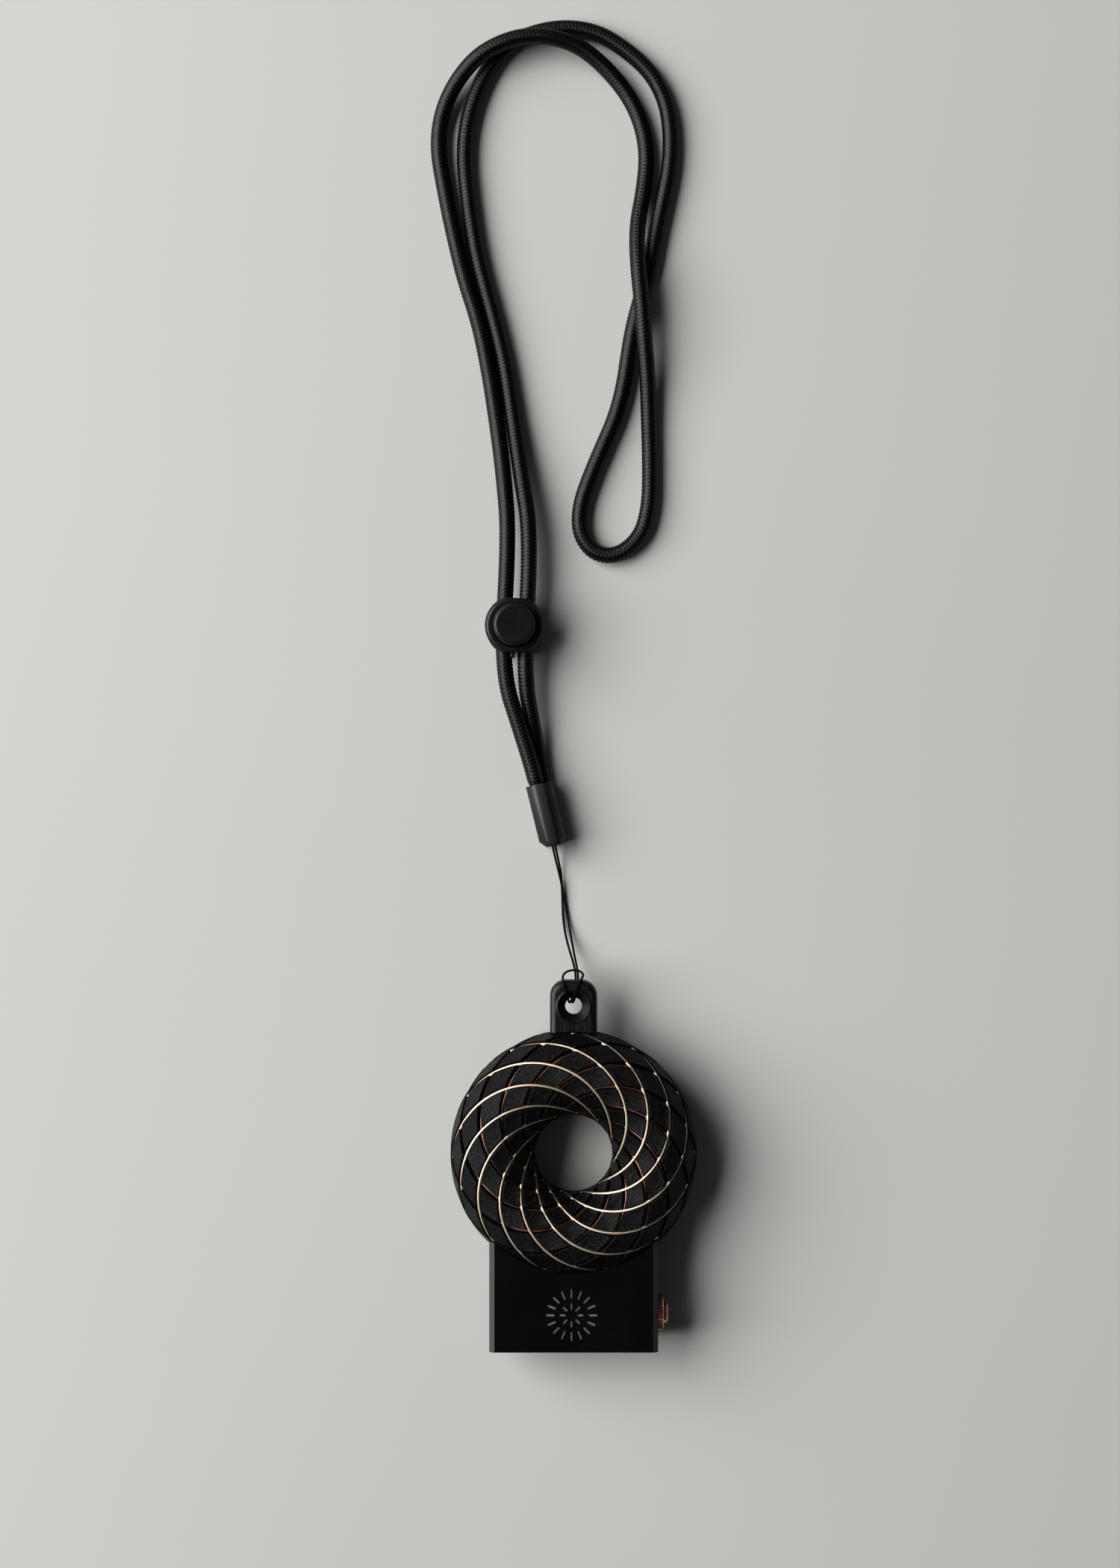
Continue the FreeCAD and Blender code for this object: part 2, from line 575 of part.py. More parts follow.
def make_cords():
    save(cord_tube(neck_route, neck_cord_diameter, "neck_cord"), "neck_cord")
    save(cord_tube(string_route, string_diameter, "string_loop"), "string_loop")
    start = Vec(sleeve_start[0], sleeve_start[1], 0)
    length = (Vec(sleeve_end[0], sleeve_end[1], 0) - start).Length
    half = sleeve_width / 2
    rise = sleeve_height
    top = sleeve_cut_top
    bottom = sleeve_cut_bottom
    section = [Vec(-half, 0, bottom), Vec(-half + bottom, 0, 0), Vec(half - bottom, 0, 0),
               Vec(half, 0, bottom), Vec(half, 0, rise - top), Vec(half - top, 0, rise),
               Vec(top - half, 0, rise), Vec(-half, 0, rise - top)]
    sleeve = Part.Face(Part.makePolygon(section + section[:1])).extrude(Vec(0, -length, 0))
    nose = sleeve_chamfer
    plan = [Vec(-half, 0, 0), Vec(half, 0, 0), Vec(half, nose - length, 0), Vec(half - nose / 2, -length, 0),
            Vec(nose - half, -length, 0), Vec(-half, nose * 1.2 - length, 0)]
    sleeve = sleeve.common(Part.Face(Part.makePolygon(plan + plan[:1])).extrude(Vec(0, 0, rise)))
    slant = math.degrees(math.atan2(sleeve_end[0] - sleeve_start[0], sleeve_start[1] - sleeve_end[1]))
    sleeve.rotate(Vec(0, 0, 0), Vec(0, 0, 1), slant)
    sleeve.translate(start)
    for route in (neck_route, string_route):
        for end, neighbour in ((route[0], route[1]), (route[-1], route[-2])):
            diameter = neck_cord_diameter if route is neck_route else string_diameter
            heading = Vec(*neighbour) - Vec(*end)
            sleeve = sleeve.cut(rod(diameter / 2, 30, end, tuple(heading)))
    save(max(sleeve.Solids, key=lambda s: s.Volume), "cord_sleeve")


make_ring()
make_windings()
make_box()
make_tab()
make_button()
make_electronics()
make_lock()
make_cords()
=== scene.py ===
import math
import bmesh
import bpy
from mathutils import Matrix, Vector, noise


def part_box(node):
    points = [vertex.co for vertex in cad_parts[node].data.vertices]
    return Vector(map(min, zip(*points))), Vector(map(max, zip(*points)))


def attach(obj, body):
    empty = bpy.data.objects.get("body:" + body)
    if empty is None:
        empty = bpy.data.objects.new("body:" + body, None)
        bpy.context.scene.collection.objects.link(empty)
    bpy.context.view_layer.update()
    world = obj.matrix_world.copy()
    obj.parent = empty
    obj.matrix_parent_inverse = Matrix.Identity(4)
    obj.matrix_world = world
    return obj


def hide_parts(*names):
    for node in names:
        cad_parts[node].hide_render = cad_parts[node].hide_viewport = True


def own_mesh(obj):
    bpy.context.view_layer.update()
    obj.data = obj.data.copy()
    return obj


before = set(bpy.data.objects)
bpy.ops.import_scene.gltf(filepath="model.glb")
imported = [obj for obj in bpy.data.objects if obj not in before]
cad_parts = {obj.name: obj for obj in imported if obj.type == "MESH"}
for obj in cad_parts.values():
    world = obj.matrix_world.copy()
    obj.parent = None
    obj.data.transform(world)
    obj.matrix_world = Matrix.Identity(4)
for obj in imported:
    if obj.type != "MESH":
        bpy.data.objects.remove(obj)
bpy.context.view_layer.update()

# A black wound ring pendant on a braided neck lanyard. Pieces are drawn in millimetres and scaled once.
mm = 0.001
print("frame loaded,", len(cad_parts), "nodes")


# Small helpers for every piece

def cadBox(node):
    low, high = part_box(node)
    return Vector(low) / mm, Vector(high) / mm


def smoothByAngle(bm, degrees):
    limit = math.radians(degrees)
    for face in bm.faces:
        face.smooth = True
    for edge in bm.edges:
        edge.smooth = len(edge.link_faces) != 2 or edge.calc_face_angle(0) < limit


def finishPiece(bm, name, body, material, replaced, sharp=40):
    # turns a mesh drawn in millimetres into a piece that rides a body and stands for CAD nodes
    smoothByAngle(bm, sharp)
    bmesh.ops.scale(bm, vec=(mm, mm, mm), verts=bm.verts)
    mesh = bpy.data.meshes.new(name)
    bm.to_mesh(mesh)
    bm.free()
    piece = bpy.data.objects.new(name, mesh)
    bpy.context.scene.collection.objects.link(piece)
    piece.data.materials.append(material)
    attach(piece, body)
    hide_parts(*replaced)
    return piece


# Camera

view = {"centre": (-4.4, 123.2), "plane": 13.8, "distance": 750.0, "heightShown": 509.0, "sensor": 36.0}
camera = bpy.data.objects.new("camera", bpy.data.cameras.new("camera"))
camera.data.sensor_fit = "VERTICAL"
camera.data.sensor_height = view["sensor"]
camera.data.lens = view["sensor"] * view["distance"] / view["heightShown"]
camera.data.clip_start = 0.01
camera.location = Vector((*view["centre"], view["plane"] + view["distance"])) * mm
bpy.context.scene.collection.objects.link(camera)
bpy.context.scene.camera = camera
print("camera placed")


# Shader helpers and the node groups that the finishes share

def put(tree, kind, inputs=None, **settings):
    made = tree.nodes.new("ShaderNode" + kind)
    for key, value in settings.items():
        setattr(made, key, value)
    for key, value in (inputs or {}).items():
        if isinstance(value, bpy.types.NodeSocket):
            tree.links.new(value, made.inputs[key])
        else:
            made.inputs[key].default_value = value
    return made


def math2(tree, operation, a, b=0.0):
    return put(tree, "Math", {0: a, 1: b}, operation=operation).outputs[0]


def blendColours(tree, factor, a, b):
    made = put(tree, "Mix", {"Factor": factor}, data_type="RGBA")
    for socket, value in ((made.inputs[6], a), (made.inputs[7], b)):
        if isinstance(value, bpy.types.NodeSocket):
            tree.links.new(value, socket)
        else:
            socket.default_value = (*value, 1)
    return made.outputs[2]


def ramp(tree, factor, *stops):
    made = put(tree, "ValToRGB", {"Fac": factor})
    while len(made.color_ramp.elements) < len(stops):
        made.color_ramp.elements.new(0.5)
    for element, (place, value) in zip(made.color_ramp.elements, stops):
        element.position = place
        element.color = (value, value, value, 1)
    return made.outputs["Color"]


def newGroup(name, inputs, outputs):
    tree = bpy.data.node_groups.new(name, "ShaderNodeTree")
    for label, kind, value in inputs:
        socket = tree.interface.new_socket(label, in_out="INPUT", socket_type="NodeSocket" + kind)
        if value is not None:
            socket.default_value = value
    for label, kind in outputs:
        tree.interface.new_socket(label, in_out="OUTPUT", socket_type="NodeSocket" + kind)
    return tree, tree.nodes.new("NodeGroupInput"), tree.nodes.new("NodeGroupOutput")


def place(tree, group, inputs):
    made = tree.nodes.new("ShaderNodeGroup")
    made.node_tree = group
    for key, value in inputs.items():
        if isinstance(value, bpy.types.NodeSocket):
            tree.links.new(value, made.inputs[key])
        else:
            made.inputs[key].default_value = value
    return made


def makeGrain():
    # fine tooth, slow blotches and sparse dust, all from object coordinates
    tree, start, end = newGroup("surfaceGrain", [("Vector", "Vector", None), ("Tooth", "Float", 6.0),
                                                 ("Blotch", "Float", 0.12)],
                                [("Fine", "Float"), ("Slow", "Float"), ("Dust", "Float")])
    vector = start.outputs["Vector"]
    fine = put(tree, "TexNoise", {"Vector": vector, "Scale": start.outputs["Tooth"], "Detail": 5.0,
                                  "Roughness": 0.65})
    slow = put(tree, "TexNoise", {"Vector": vector, "Scale": start.outputs["Blotch"], "Detail": 3.0})
    specks = put(tree, "TexNoise", {"Vector": vector, "Scale": 2.3, "Detail": 2.0, "Roughness": 0.7})
    dust = ramp(tree, specks.outputs["Fac"], (0.0, 0.0), (0.66, 0.0), (0.74, 1.0))
    tree.links.new(fine.outputs["Fac"], end.inputs["Fine"])
    tree.links.new(slow.outputs["Fac"], end.inputs["Slow"])
    tree.links.new(dust, end.inputs["Dust"])
    return tree


def makeLayers():
    # printed layers: ridges at even heights that waver, and a mask of where the skin lies flat
    tree, start, end = newGroup("printLayers", [("Vector", "Vector", None), ("Layer", "Float", 0.2)],
                                [("Height", "Float"), ("Flat", "Float")])
    parts = put(tree, "SeparateXYZ", {"Vector": start.outputs["Vector"]})
    waver = put(tree, "TexNoise", {"Vector": start.outputs["Vector"], "Scale": 0.9, "Detail": 3.0})
    lifted = math2(tree, "ADD", parts.outputs["Z"], math2(tree, "MULTIPLY", waver.outputs["Fac"], 0.5))
    turns = math2(tree, "DIVIDE", lifted, start.outputs["Layer"])
    ridge = math2(tree, "ABSOLUTE", math2(tree, "SINE", math2(tree, "MULTIPLY", turns, math.pi)))
    normal = put(tree, "SeparateXYZ", {"Vector": put(tree, "NewGeometry").outputs["True Normal"]})
    flat = ramp(tree, math2(tree, "ABSOLUTE", normal.outputs["Z"]), (0.0, 0.0), (0.86, 0.0), (0.985, 1.0))
    tree.links.new(ridge, end.inputs["Height"])
    tree.links.new(flat, end.inputs["Flat"])
    return tree


def makeFibres():
    # filaments along the strand that lies on top, from the strand numbers in the UV map
    tree, start, end = newGroup("braidFibres", [("UV", "Vector", None), ("Threads", "Float", 5.0),
                                                ("Ribs", "Float", 5.0)],
                                [("Height", "Float"), ("Shade", "Float")])
    parts = put(tree, "SeparateXYZ", {"Vector": start.outputs["UV"]})
    p, q = parts.outputs["X"], parts.outputs["Y"]
    total = math2(tree, "ADD", math2(tree, "FLOOR", p), math2(tree, "FLOOR", q))
    first = math2(tree, "LESS_THAN", math2(tree, "FLOORED_MODULO", total, 4.0), 2.0)
    across = put(tree, "Mix", {"Factor": first, 2: q, 3: p}, data_type="FLOAT").outputs[0]
    along = put(tree, "Mix", {"Factor": first, 2: p, 3: q}, data_type="FLOAT").outputs[0]
    thread = put(tree, "CombineXYZ", {"X": math2(tree, "MULTIPLY", across, start.outputs["Threads"]),
                                      "Y": math2(tree, "MULTIPLY", along, 0.7)})
    fine = put(tree, "TexNoise", {"Vector": thread.outputs[0], "Scale": 1.6, "Detail": 3.0, "Roughness": 0.6})
    ribs = math2(tree, "MULTIPLY", start.outputs["Ribs"], math.pi)
    comb = math2(tree, "ABSOLUTE", math2(tree, "SINE", math2(tree, "MULTIPLY", across, ribs)))
    height = math2(tree, "ADD", math2(tree, "MULTIPLY", comb, 0.5), fine.outputs["Fac"])
    tree.links.new(height, end.inputs["Height"])
    tree.links.new(fine.outputs["Fac"], end.inputs["Shade"])
    return tree


grainGroup = makeGrain()
layerGroup = makeLayers()
fibreGroup = makeFibres()


def newFinish(name, **fixed):
    # a material with its shader and object coordinates in millimetres
    material = bpy.data.materials.new(name)
    material.use_nodes = True
    tree = material.node_tree
    tree.nodes.clear()
    shader = put(tree, "BsdfPrincipled", fixed)
    out = tree.nodes.new("ShaderNodeOutputMaterial")
    tree.links.new(shader.outputs[0], out.inputs["Surface"])
    coords = put(tree, "TexCoord")
    mapping = put(tree, "Mapping", {"Vector": coords.outputs["Object"], "Scale": (1000, 1000, 1000)})
    return material, tree, shader, mapping.outputs["Vector"], coords


def grainRoughness(tree, shader, grain, limits):
    # roughness that follows the fine grain between two limits
    rough = put(tree, "MapRange", {"Value": grain.outputs["Fine"], "From Min": 0.3, "From Max": 0.7,
                                   "To Min": limits[0], "To Max": limits[1]})
    tree.links.new(rough.outputs[0], shader.inputs["Roughness"])


def bump(tree, shader, height, strength, distance, edge=0):
    # distance is in millimetres, and so is edge, the radius that corners are shaded with
    made = put(tree, "Bump", {"Height": height, "Strength": strength, "Distance": distance * mm})
    if edge:
        soft = put(tree, "Bevel", {"Radius": edge * mm}, samples=6)
        tree.links.new(soft.outputs["Normal"], made.inputs["Normal"])
    tree.links.new(made.outputs["Normal"], shader.inputs["Normal"])


streakLook = {"scale": (2.2, 0.10, 2.2), "detail": 3.0, "from": 0.52, "to": 0.68,
              "colour": (0.03, 0.03, 0.031), "height": 2.0}
dustColour = (0.25, 0.25, 0.25)
metalDepth = 0.02


def makePlastic(name, values):
    # moulded or printed plastic: colour and gloss vary a little, with a fine tooth and maybe streaks
    material, tree, shader, vector, _ = newFinish(name, **{"Specular IOR Level": values["specular"]})
    grain = place(tree, grainGroup, {"Vector": vector, "Tooth": values["tooth"], "Blotch": values["blotch"]})
    slow = ramp(tree, grain.outputs["Slow"], (0.3, 0.0), (0.7, 1.0))
    colour = blendColours(tree, slow, values["colour"], values["wearAndHighlight"])
    dusty = math2(tree, "MULTIPLY", grain.outputs["Dust"], values["dust"])
    colour = blendColours(tree, dusty, colour, dustColour)
    grainRoughness(tree, shader, grain, values["roughness"])
    height = grain.outputs["Fine"]
    if "streaks" in values:
        drawn = put(tree, "Mapping", {"Vector": vector, "Scale": streakLook["scale"]})
        streaks = put(tree, "TexNoise", {"Vector": drawn.outputs["Vector"], "Scale": 1.0,
                                         "Detail": streakLook["detail"]}).outputs["Fac"]
        lines = ramp(tree, streaks, (streakLook["from"], 0.0), (streakLook["to"], 1.0))
        colour = blendColours(tree, math2(tree, "MULTIPLY", lines, values["streaks"]), colour,
                              streakLook["colour"])
        height = math2(tree, "ADD", math2(tree, "MULTIPLY", streaks, streakLook["height"]), height)
    tree.links.new(colour, shader.inputs["Base Color"])
    bump(tree, shader, height, values["bump"], values["depth"], values.get("edge", 0))
    return material


def makeMetal(name, values):
    # bare metal: drawn or turned, with slow tarnish
    material, tree, shader, vector, _ = newFinish(name, **{"Metallic": 1.0})
    grain = place(tree, grainGroup, {"Vector": vector, "Tooth": values["tooth"], "Blotch": values["blotch"]})
    slow = ramp(tree, grain.outputs["Slow"], (0.35, 0.0), (0.68, 1.0))
    tree.links.new(blendColours(tree, slow, values["colour"], values["tarnish"]), shader.inputs["Base Color"])
    grainRoughness(tree, shader, grain, values["roughness"])
    bump(tree, shader, grain.outputs["Fine"], values["bump"], metalDepth)
    return material


def makeBraid(name, values):
    # filaments that catch the light on each strand of the braid, with a little dust
    material, tree, shader, vector, coords = newFinish(name, **{"Specular IOR Level": values["specular"]})
    fibres = place(tree, fibreGroup, {"UV": coords.outputs["UV"], "Threads": values["threads"]})
    grain = place(tree, grainGroup, {"Vector": vector, "Tooth": values["tooth"], "Blotch": values["blotch"]})
    colour = blendColours(tree, fibres.outputs["Shade"], values["dark"], values["light"])
    dusty = math2(tree, "MULTIPLY", grain.outputs["Dust"], values["dust"])
    tree.links.new(blendColours(tree, dusty, colour, values["dustColour"]), shader.inputs["Base Color"])
    low, high = values["roughness"]
    rough = put(tree, "MapRange", {"Value": fibres.outputs["Shade"], "To Min": low, "To Max": high})
    tree.links.new(rough.outputs[0], shader.inputs["Roughness"])
    bump(tree, shader, fibres.outputs["Height"], values["bump"], values["depth"])
    return material


def makeBoxFinish(name, values):
    # smooth black, with pale floors in the engraved strokes and a painted highlight on the side bevels, a
    # paler colour where they face left and right
    material = makePlastic(name, values)
    tree = material.node_tree
    shader = tree.nodes["Principled BSDF"]
    coords = put(tree, "TexCoord").outputs["Object"]
    height = put(tree, "SeparateXYZ", {"Vector": coords}).outputs["Z"]
    away = put(tree, "VectorMath", {0: coords, 1: values["rosette"]}, operation="DISTANCE").outputs["Value"]
    normal = put(tree, "SeparateXYZ", {"Vector": put(tree, "NewGeometry").outputs["True Normal"]})
    near = math2(tree, "MULTIPLY", math2(tree, "LESS_THAN", away, values["reach"]),
                 math2(tree, "LESS_THAN", height, values["front"]))
    stroke = math2(tree, "MULTIPLY", near, math2(tree, "GREATER_THAN", normal.outputs["Z"], 0.9))
    slope = math2(tree, "ABSOLUTE", normal.outputs["Z"])
    bevel = math2(tree, "MULTIPLY", math2(tree, "GREATER_THAN", slope, values["steepest"]),
                  math2(tree, "LESS_THAN", slope, values["flattest"]))
    side = math2(tree, "GREATER_THAN", math2(tree, "ABSOLUTE", normal.outputs["X"]), values["steepest"])
    plainRoughness = shader.inputs["Roughness"].links[0].from_socket
    rougher = math2(tree, "MULTIPLY", bevel, values["bevelRougher"])
    tree.links.new(math2(tree, "ADD", plainRoughness, rougher), shader.inputs["Roughness"])
    plainColour = shader.inputs["Base Color"].links[0].from_socket
    # painted highlight: the bevels that face left and right take a paler colour, as if lit by the lamp
    wearAndHighlight = blendColours(tree, math2(tree, "MULTIPLY", bevel, side), plainColour, values["bevelHighlight"])
    tree.links.new(blendColours(tree, stroke, wearAndHighlight, values["pale"]), shader.inputs["Base Color"])
    return material


finishes = {
    "printed": makePlastic("printedBlack", {
        "colour": (0.003, 0.003, 0.0035), "wearAndHighlight": (0.009, 0.009, 0.010), "specular": 0.4, "tooth": 3.2,
        "blotch": 0.10, "dust": 0.2, "roughness": (0.28, 0.42), "streaks": 0.8, "bump": 0.5, "depth": 0.08,
        "edge": 0.5}),
    # the paler bevel colour of this box finish is a painted highlight on its side bevels
    "box": makeBoxFinish("smoothBlack", {
        "colour": (0.003, 0.003, 0.0035), "wearAndHighlight": (0.006, 0.006, 0.0065), "specular": 0.42, "tooth": 2.0,
        "blotch": 0.05, "dust": 0.12, "roughness": (0.17, 0.24), "bump": 0.04, "depth": 0.04,
        "rosette": (-0.0009, -0.0476, 0.0208), "reach": 0.0095, "front": 0.02105, "pale": (0.22, 0.22, 0.22),
        "steepest": 0.3, "flattest": 0.95, "bevelRougher": 0.26, "bevelHighlight": (0.055, 0.055, 0.056)}),
    "moulded": makePlastic("mouldedBlack", {
        "colour": (0.005, 0.005, 0.006), "wearAndHighlight": (0.010, 0.010, 0.011), "specular": 0.6, "tooth": 2.6,
        "blotch": 0.10, "dust": 0.1, "roughness": (0.26, 0.34), "bump": 0.06, "depth": 0.04, "edge": 0.7}),
    "sleeve": makePlastic("sleeveBlack", {
        "colour": (0.006, 0.006, 0.007), "wearAndHighlight": (0.012, 0.012, 0.013), "specular": 0.6, "tooth": 2.6,
        "blotch": 0.10, "dust": 0.1, "roughness": (0.40, 0.50), "bump": 0.06, "depth": 0.04}),
    "string": makePlastic("waxedBlack", {
        "colour": (0.002, 0.002, 0.002), "wearAndHighlight": (0.006, 0.006, 0.006), "specular": 0.12, "tooth": 4.0,
        "blotch": 0.2, "dust": 0.0, "roughness": (0.40, 0.55), "bump": 0.1, "depth": 0.03}),
    "insert": makePlastic("insertGrey", {
        "colour": (0.03, 0.03, 0.03), "wearAndHighlight": (0.05, 0.05, 0.05), "specular": 0.5, "tooth": 2.0,
        "blotch": 0.2, "dust": 0.0, "roughness": (0.4, 0.55), "bump": 0.1, "depth": 0.05}),
    "laminate": makePlastic("boardGreen", {
        "colour": (0.010, 0.075, 0.030), "wearAndHighlight": (0.014, 0.10, 0.045), "specular": 0.5, "tooth": 4.0,
        "blotch": 0.4, "dust": 0.0, "roughness": (0.3, 0.45), "bump": 0.1, "depth": 0.03}),
    "insulation": makePlastic("redInsulation", {
        "colour": (0.35, 0.012, 0.010), "wearAndHighlight": (0.42, 0.02, 0.015), "specular": 0.5, "tooth": 2.0,
        "blotch": 0.3, "dust": 0.0, "roughness": (0.35, 0.5), "bump": 0.1, "depth": 0.03}),
    # one copper in a lit and a shaded copy: the over wires' paler cream colour is painted highlight, the
    # under wires' darker colour is painted shade
    "litCopper": makeMetal("litBareCopper", {
        "colour": (1.0, 0.90, 0.74), "tarnish": (0.96, 0.74, 0.56), "tooth": 2.2, "blotch": 0.09,
        "roughness": (0.48, 0.62), "bump": 0.15}),
    "shadedCopper": makeMetal("shadedCopper", {
        "colour": (0.52, 0.27, 0.19), "tarnish": (0.22, 0.11, 0.08), "tooth": 2.2, "blotch": 0.25,
        "roughness": (0.38, 0.55), "bump": 0.15}),
    "roseMetal": makeMetal("roseCopper", {
        "colour": (0.70, 0.38, 0.29), "tarnish": (0.45, 0.22, 0.16), "tooth": 1.6, "blotch": 0.2,
        "roughness": (0.20, 0.32), "bump": 0.08}),
    "steel": makeMetal("plainSteel", {
        "colour": (0.56, 0.56, 0.57), "tarnish": (0.42, 0.42, 0.43), "tooth": 2.0, "blotch": 0.3,
        "roughness": (0.25, 0.4), "bump": 0.1}),
    "gilt": makeMetal("giltContact", {
        "colour": (0.80, 0.62, 0.28), "tarnish": (0.66, 0.48, 0.20), "tooth": 2.0, "blotch": 0.3,
        "roughness": (0.22, 0.35), "bump": 0.08}),
    "braid": makeBraid("braidedBlack", {
        "threads": 9.0, "dark": (0.0015, 0.0015, 0.0015), "light": (0.006, 0.006, 0.006), "specular": 0.42,
        "tooth": 3.0, "blotch": 0.08, "dust": 0.25, "dustColour": (0.2, 0.2, 0.19),
        "roughness": (0.26, 0.42), "bump": 0.6, "depth": 0.06}),
}
print("finishes made")


# Cord routes in metres, the same control points as the CAD tubes'

neckRoute = [
    (-0.0102, 0.1153, 0.0072), (-0.0125, 0.1252, 0.0073), (-0.0168, 0.1392, 0.0075),
    (-0.0238, 0.1607, 0.0082), (-0.0211, 0.2039, 0.0082), (-0.0229, 0.2250, 0.0056),
    (-0.0255, 0.2447, 0.0032), (-0.0281, 0.2610, 0.00265), (-0.0312, 0.2757, 0.00265),
    (-0.0360, 0.2900, 0.00265), (-0.0397, 0.3057, 0.00265), (-0.0425, 0.3195, 0.00265),
    (-0.0447, 0.3323, 0.00265), (-0.0437, 0.3431, 0.00265), (-0.0395, 0.3527, 0.0044),
    (-0.0324, 0.3608, 0.0074), (-0.0245, 0.3654, 0.0083), (-0.0157, 0.3680, 0.0083),
    (-0.0068, 0.3678, 0.0079), (0.0025, 0.3650, 0.0060), (0.0109, 0.3586, 0.0039),
    (0.0180, 0.3503, 0.00275), (0.0225, 0.3409, 0.00265), (0.0244, 0.3303, 0.00265),
    (0.0232, 0.3185, 0.0029), (0.0209, 0.3065, 0.0050), (0.0210, 0.2942, 0.0078),
    (0.0222, 0.2819, 0.0084), (0.0232, 0.2696, 0.0076), (0.0244, 0.2565, 0.0048),
    (0.0249, 0.2425, 0.0030), (0.0253, 0.2278, 0.00265), (0.0251, 0.2154, 0.00265),
    (0.0225, 0.2049, 0.00265), (0.0148, 0.1982, 0.00265), (0.0067, 0.1990, 0.00265),
    (0.0019, 0.2059, 0.00265), (0.0022, 0.2152, 0.00265), (0.0057, 0.2250, 0.00265),
    (0.0097, 0.2344, 0.00265), (0.0138, 0.2437, 0.00265), (0.0166, 0.2541, 0.00265),
    (0.0181, 0.2644, 0.00265), (0.0197, 0.2738, 0.00265), (0.0222, 0.2831, 0.00265),
    (0.0250, 0.2924, 0.00265), (0.0269, 0.3038, 0.00265), (0.0293, 0.3146, 0.00265),
    (0.0316, 0.3254, 0.00265), (0.0323, 0.3362, 0.00265), (0.0308, 0.3476, 0.00265),
    (0.0259, 0.3574, 0.00265), (0.0178, 0.3648, 0.00265), (0.0084, 0.3707, 0.00265),
    (-0.0019, 0.3725, 0.00265), (-0.0122, 0.3710, 0.00265), (-0.0206, 0.3672, 0.00265),
    (-0.0272, 0.3606, 0.00265), (-0.0319, 0.3515, 0.00265), (-0.0351, 0.3407, 0.00265),
    (-0.0360, 0.3293, 0.00265), (-0.0349, 0.3180, 0.00265), (-0.0334, 0.3067, 0.00265),
    (-0.0313, 0.2954, 0.00265), (-0.0281, 0.2836, 0.00265), (-0.0250, 0.2723, 0.00265),
    (-0.0222, 0.2600, 0.00265), (-0.0200, 0.2447, 0.0032), (-0.0172, 0.2250, 0.0056),
    (-0.0138, 0.2034, 0.0082), (-0.0165, 0.1602, 0.0082), (-0.0128, 0.1392, 0.0037),
    (-0.0106, 0.1266, 0.00265), (-0.0081, 0.1161, 0.00265),
]

stringRoute = [
    (-0.0070, 0.1072, 0.0050), (-0.00585, 0.1024, 0.0047), (-0.00495, 0.0981, 0.0029),
    (-0.0041, 0.0942, 0.0012), (-0.00385, 0.0904, 0.0005), (-0.00365, 0.0866, 0.00045),
    (-0.00355, 0.0828, 0.00045), (-0.0034, 0.0790, 0.0005), (-0.00295, 0.0754, 0.0008),
    (-0.0022, 0.0718, 0.0018), (-0.00125, 0.0684, 0.0033), (-0.0002, 0.0652, 0.0054),
    (0.00055, 0.0623, 0.0076), (0.0008, 0.0594, 0.0091), (0.0005, 0.0564, 0.0096),
    (-0.0003, 0.0536, 0.0101), (-0.0010, 0.0521, 0.0120), (-0.0015, 0.0525, 0.0152),
    (-0.0022, 0.0545, 0.01745), (-0.0028, 0.0568, 0.0179), (-0.0032, 0.0590, 0.01765),
    (-0.0035, 0.0603, 0.0162), (-0.0035, 0.0607, 0.0132), (-0.0032, 0.0611, 0.0098),
    (-0.0023, 0.0617, 0.0072), (-0.0008, 0.06215, 0.0062), (0.0011, 0.06215, 0.0062),
    (0.0026, 0.0617, 0.0072), (0.0032, 0.0611, 0.0098), (0.0030, 0.0606, 0.0132),
    (0.0026, 0.0602, 0.0162), (0.0019, 0.0589, 0.01765), (0.0009, 0.0568, 0.0179),
    (-0.0001, 0.0545, 0.01745), (-0.0006, 0.0525, 0.0152), (-0.0001, 0.0521, 0.0120),
    (0.0006, 0.0537, 0.0101), (0.0013, 0.0564, 0.0096), (0.0016, 0.0594, 0.0091),
    (0.00135, 0.0623, 0.0076), (0.0007, 0.0652, 0.0054), (0.00005, 0.0684, 0.0033),
    (-0.0006, 0.0719, 0.0018), (-0.00125, 0.0755, 0.0008), (-0.0019, 0.0792, 0.0005),
    (-0.00255, 0.0829, 0.0005), (-0.0032, 0.0866, 0.0009), (-0.00395, 0.0904, 0.00135),
    (-0.0048, 0.0942, 0.0016), (-0.0058, 0.0981, 0.0029), (-0.0067, 0.1022, 0.0047),
    (-0.00785, 0.1070, 0.0050),
]


def splineLine(route, resolution, order=3):
    # points along one smooth NURBS curve, read from the curve with no bevel
    curve = bpy.data.curves.new("route", "CURVE")
    curve.dimensions = "3D"
    curve.resolution_u = resolution
    spline = curve.splines.new("NURBS")
    spline.points.add(len(route) - 1)
    for point, target in zip(spline.points, route):
        point.co = (*(Vector(target) / mm), 1)
    spline.order_u = order
    spline.use_endpoint_u = True
    holder = bpy.data.objects.new("route", curve)
    mesh = bpy.data.meshes.new_from_object(holder)
    line = [v.co.copy() for v in mesh.vertices]
    bpy.data.objects.remove(holder)
    bpy.data.curves.remove(curve)
    bpy.data.meshes.remove(mesh)
    return line


